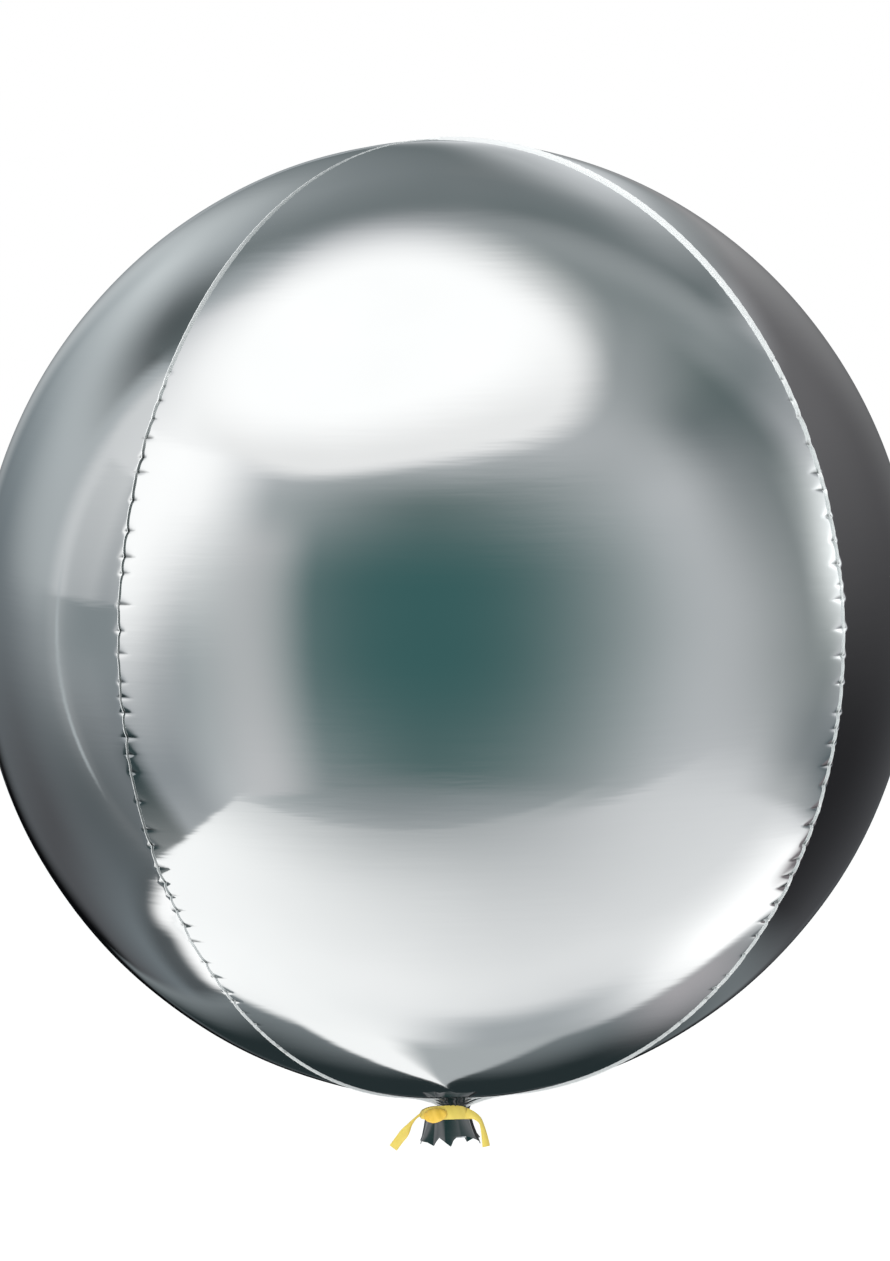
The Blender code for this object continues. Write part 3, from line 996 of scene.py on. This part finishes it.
def makeKnot():
    # the ribbon folded over the band, a fat lobe that is pinched at both ends
    print("ribbon knot")
    piece = addGrid("ribbon_lobe", *ribbon["knotGrid"])
    flat = readPoints(piece)
    share = flat[:, 0] + 0.5
    around = flat[:, 1] * math.pi * ribbon["knotWrap"]
    angle = np.radians(ribbon["knotFrom"] + (ribbon["knotTo"] - ribbon["knotFrom"]) * share)
    bulge = blend(ribbon["knotEnds"], np.sin(math.pi * share) ** 0.7)
    pleat = ribbon["knotPleat"] * np.sin(share * 21 + around * 2)
    out = ribbon["knotLift"] + ribbon["knotBulge"] * bulge * np.cos(around * 0.9) + pleat
    across = ribbon["knotHeight"] * bulge * np.sin(around)
    x, y, z = bandPoint(angle, across, np.maximum(out, ribbon["knotLift"]))
    writePoints(piece, x, y, foot + z - ribbon["knotDrop"] * bulge)
    applyModifier(piece, "SOLIDIFY", thickness=ribbon["thickness"], offset=-1.0)
    return piece


def makeRibbonEnd(name, route):
    print(name)
    piece = addGrid(name, *ribbon["endGrid"])
    flat = readPoints(piece)
    stops = np.array(route)
    stops[:, :3] *= 0.001
    share = (flat[:, 1] + 0.5) * (len(stops) - 1)
    first = np.clip(share.astype(int), 0, len(stops) - 2)
    t = (share - first)[:, None]
    before, start, end, after = (stops[np.clip(first + step, 0, len(stops) - 1)] for step in (-1, 0, 1, 2))
    bend = 2 * before - 5 * start + 4 * end - after
    place = start + 0.5 * t * ((end - before) + t * (bend + t * (3 * start - before - 3 * end + after)))
    run = (end - before) + t * (2 * bend + 3 * t * (3 * start - before - 3 * end + after))
    twist = np.radians(place[:, 4])
    outward = np.stack([np.sin(twist), -np.cos(twist), np.zeros_like(twist)], axis=-1)
    run = run[:, :3] / np.linalg.norm(run[:, :3], axis=1)[:, None]
    across = np.cross(run, outward)
    across /= np.linalg.norm(across, axis=1)[:, None]
    facing = np.cross(across, run)
    sideways = (flat[:, 0] * ribbon["width"] * place[:, 3])[:, None]
    cup = (ribbon["cup"] * (1 - (2 * flat[:, 0]) ** 2))[:, None]
    x, y, z = (place[:, :3] + across * sideways + facing * cup).T
    writePoints(piece, x, y, foot + z)
    applyModifier(piece, "SOLIDIFY", thickness=ribbon["thickness"], offset=0.0)
    return piece


# Materials

def newMaterial(name):
    material = bpy.data.materials.new(name)
    material.use_nodes = True
    return material, material.node_tree, material.node_tree.nodes["Principled BSDF"]


marks = {
    "smudgeSize": 0.05,
    "lineSize": 0.004,
    "lineStretch": 10.0,
    "patchFrom": 0.42,  # level lines show where the smudges pass from this to the next value
    "patchTo": 0.66,
    "patchLeast": 0.3,  # how much of them is left elsewhere
    "dustScale": 420.0,
    "dustSize": 0.05,
}


def makeMarks():
    # soft, uneven handling marks, and fine level lines from the film's rolling
    inputs = [
        ("Vector", "Vector", None),
        ("Smudge size", "Float", marks["smudgeSize"]),
        ("Line size", "Float", marks["lineSize"]),
        ("Line stretch", "Float", marks["lineStretch"]),
    ]
    outputs = [("Smudge", "Float", None), ("Lines", "Float", None), ("Dust", "Float", None)]
    group, given, result = makeGroup("filmMarks", inputs, outputs)
    smudgeScale = calculate(group, "DIVIDE", 1.0, given["Smudge size"])
    smudge = addNode(
        group, "ShaderNodeTexNoise", {"Vector": given["Vector"], "Scale": smudgeScale, "Detail": 2.0}
    ).outputs["Fac"]
    level = calculate(group, "DIVIDE", 1.0, given["Line size"])
    flatScale = calculate(group, "DIVIDE", level, given["Line stretch"])
    scale = addNode(group, "ShaderNodeCombineXYZ", {0: flatScale, 1: flatScale, 2: level}).outputs[0]
    stretched = addNode(
        group, "ShaderNodeVectorMath", {0: given["Vector"], 1: scale}, operation="MULTIPLY"
    ).outputs[0]
    lines = addNode(
        group, "ShaderNodeTexNoise", {"Vector": stretched, "Scale": 1.0, "Detail": 2.0}
    ).outputs["Fac"]
    patchy = addNode(
        group,
        "ShaderNodeMapRange",
        {
            "Value": smudge,
            "From Min": marks["patchFrom"],
            "From Max": marks["patchTo"],
            "To Min": marks["patchLeast"],
        },
    ).outputs["Result"]
    lines = calculate(group, "MULTIPLY", calculate(group, "SUBTRACT", lines, 0.5), patchy)
    specks = addNode(
        group, "ShaderNodeTexVoronoi", {"Vector": given["Vector"], "Scale": marks["dustScale"]}
    ).outputs["Distance"]
    dust = calculate(group, "LESS_THAN", specks, marks["dustSize"])
    group.links.new(smudge, result["Smudge"])
    group.links.new(lines, result["Lines"])
    group.links.new(dust, result["Dust"])
    return group


mirror = {
    "dark": (0.86, 0.875, 0.875),
    "light": (0.92, 0.93, 0.93),
    # the colour of the painted shade in folds, gathers and along the seals, and how much of it is laid on
    "crease": (0.03, 0.04, 0.042, 1.0),
    "paintedShadeShare": 0.85,
    "dustRoughness": 0.06,
    "smudgeFrom": 0.3,
    "smudgeTo": 0.7,
}

# Each film: how rough it is where it is clean and where it is smudged, the height, size and stretch of its
# level lines, how light it is, under 1 as painted shade on the throat and the tail, and how much of a mirror
films = {
    "mirrorFilm": (0.03, 0.08, 0.000042, 0.0038, 11.0, 1.0, 1.0),
    "sealedFilm": (0.30, 0.42, 0.00001, 0.0012, 1.0, 1.0, 0.45),
    "shadedThroatFilm": (0.09, 0.16, 0.00002, 0.003, 2.0, 0.15, 1.0),
    "shadedTailFilm": (0.09, 0.16, 0.00002, 0.003, 2.0, 0.31, 1.0),
}


def filmMaterial(name, marksGroup):
    clean, smudged, lineHeight, lineSize, lineStretch, shade, metallic = films[name]
    material, tree, shader = newMaterial(name)
    place = addNode(tree, "ShaderNodeTexCoord").outputs["Object"]
    marked = addNode(
        tree,
        "ShaderNodeGroup",
        {"Vector": place, "Line size": lineSize, "Line stretch": lineStretch},
        node_tree=marksGroup,
    )
    smudge, lines, dust = (marked.outputs[socket] for socket in ("Smudge", "Lines", "Dust"))
    dark, light = (tuple(value * shade for value in mirror[end]) + (1.0,) for end in ("dark", "light"))
    # painted shade from the folds, the gathers and the seals darkens the film's colour
    crease = addNode(tree, "ShaderNodeAttribute", attribute_name="crease").outputs["Fac"]
    crease = calculate(tree, "MULTIPLY", crease, mirror["paintedShadeShare"])
    roughness = addNode(
        tree,
        "ShaderNodeMapRange",
        {
            "Value": smudge,
            "From Min": mirror["smudgeFrom"],
            "From Max": mirror["smudgeTo"],
            "To Min": clean,
            "To Max": smudged,
        },
    ).outputs["Result"]
    bump = addNode(tree, "ShaderNodeBump", {"Height": lines, "Strength": 1.0, "Distance": lineHeight})
    fillInputs(tree, shader, {
        "Base Color": mixColour(tree, crease, mixColour(tree, smudge, dark, light), mirror["crease"]),
        "Roughness": calculate(tree, "MULTIPLY_ADD", dust, mirror["dustRoughness"], roughness),
        "Metallic": metallic,
        "Normal": bump.outputs[0],
    })
    return material


haze = {
    "dark": (0.62, 0.66, 0.69, 1.0),
    "light": (0.80, 0.83, 0.85, 1.0),
    "clean": 0.22,
    "smudged": 0.40,
    "smudgeSize": 0.004,
}


def valveMaterial(marksGroup):
    material, tree, shader = newMaterial("hazyFilm")
    place = addNode(tree, "ShaderNodeTexCoord").outputs["Object"]
    marked = addNode(
        tree, "ShaderNodeGroup", {"Vector": place, "Smudge size": haze["smudgeSize"]}, node_tree=marksGroup
    )
    smudge = marked.outputs["Smudge"]
    roughness = addNode(
        tree, "ShaderNodeMapRange", {"Value": smudge, "To Min": haze["clean"], "To Max": haze["smudged"]}
    ).outputs["Result"]
    fillInputs(tree, shader, {
        "Base Color": mixColour(tree, smudge, haze["dark"], haze["light"]),
        "Roughness": roughness,
    })
    return material


satin = {
    "yellowRibbon": ((0.74, 0.47, 0.05, 1.0), (0.89, 0.74, 0.17, 1.0)),  # where it is deep, and where bright
    # the knot's copy, deeper in colour as painted shade where the ribbon doubles over
    "shadedKnotRibbon": ((0.76, 0.42, 0.035, 1.0), (0.89, 0.61, 0.09, 1.0)),
    "cloudScale": 240.0,
    "cloudShare": 0.7,  # how much of its depth comes from the cloud; the rest is painted shade from its slope to the view
    "smooth": 0.24,
    "rough": 0.42,
    "ribScale": 4.0,
    "ribHeight": 0.00003,
    "coat": 0.3,
    "coatRoughness": 0.15,
}


def ribbonMaterial(name):
    # polished ribbon: fine ribs run along it, and its colour deepens in a random cloud and, as painted shade,
    # where it turns from the view
    deep, bright = satin[name]
    material, tree, shader = newMaterial(name)
    place = addNode(tree, "ShaderNodeTexCoord").outputs["Object"]
    cloud = addNode(
        tree, "ShaderNodeTexNoise", {"Vector": place, "Scale": satin["cloudScale"], "Detail": 3.0}
    ).outputs["Fac"]
    facing = addNode(tree, "ShaderNodeLayerWeight", {"Blend": 0.35}).outputs["Facing"]
    slopeShade = calculate(tree, "MULTIPLY", facing, 1 - satin["cloudShare"])
    shade = calculate(tree, "MULTIPLY_ADD", cloud, satin["cloudShare"], slopeShade)
    mapped = addNode(tree, "ShaderNodeUVMap", uv_map="UVMap").outputs["UV"]
    ribs = addNode(
        tree, "ShaderNodeTexWave", {"Vector": mapped, "Scale": satin["ribScale"], "Distortion": 0.6}
    ).outputs["Fac"]
    bump = addNode(
        tree, "ShaderNodeBump", {"Height": ribs, "Strength": 0.6, "Distance": satin["ribHeight"]}
    )
    roughness = addNode(
        tree, "ShaderNodeMapRange", {"Value": cloud, "To Min": satin["smooth"], "To Max": satin["rough"]}
    ).outputs["Result"]
    fillInputs(tree, shader, {
        "Base Color": mixColour(tree, shade, bright, deep),
        "Roughness": roughness,
        "Normal": bump.outputs[0],
        "Coat Weight": satin["coat"],
        "Coat Roughness": satin["coatRoughness"],
    })
    return material


# Assembly

def main():
    makeCamera()
    makeStudio()
    makeFloor()
    makeLamps()
    print("materials")
    marksGroup = makeMarks()
    film, sealed, gathered, hanging = (filmMaterial(name, marksGroup) for name in films)
    yellow, folded = (ribbonMaterial(name) for name in ("yellowRibbon", "shadedKnotRibbon"))
    for index in range(goreCount):
        finishPiece(makeGore(index), film, "mirror_film", "gore_" + goreNames[index])
        finishPiece(makeSeal(index), sealed, "sealed_film", "seal_" + sealNames[index])
    finishPiece(makeNeck(), gathered, "throat_film", "neck")
    finishPiece(makeTail("tail_front_film", -1), hanging, "tail_film", "tail_front")
    finishPiece(makeTail("tail_back_film", 1), hanging, "tail_film", "tail_back")
    finishPiece(makeValve(), valveMaterial(marksGroup), "valve_film", "valve_film")
    finishPiece(makeBand(), yellow, "ribbon", "ribbon_band")
    finishPiece(makeKnot(), folded, "ribbon", "ribbon_knot")
    for side in ("left", "right"):
        ribbonTail = makeRibbonEnd("ribbon_tail_" + side, ribbon[side + "End"])
        finishPiece(ribbonTail, yellow, "ribbon", "ribbon_end_" + side)
    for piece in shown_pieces():
        if piece.name.startswith("ribbon_"):
            piece.visible_glossy = False  # the film above it doesn't mirror it


main()
clearSelection()
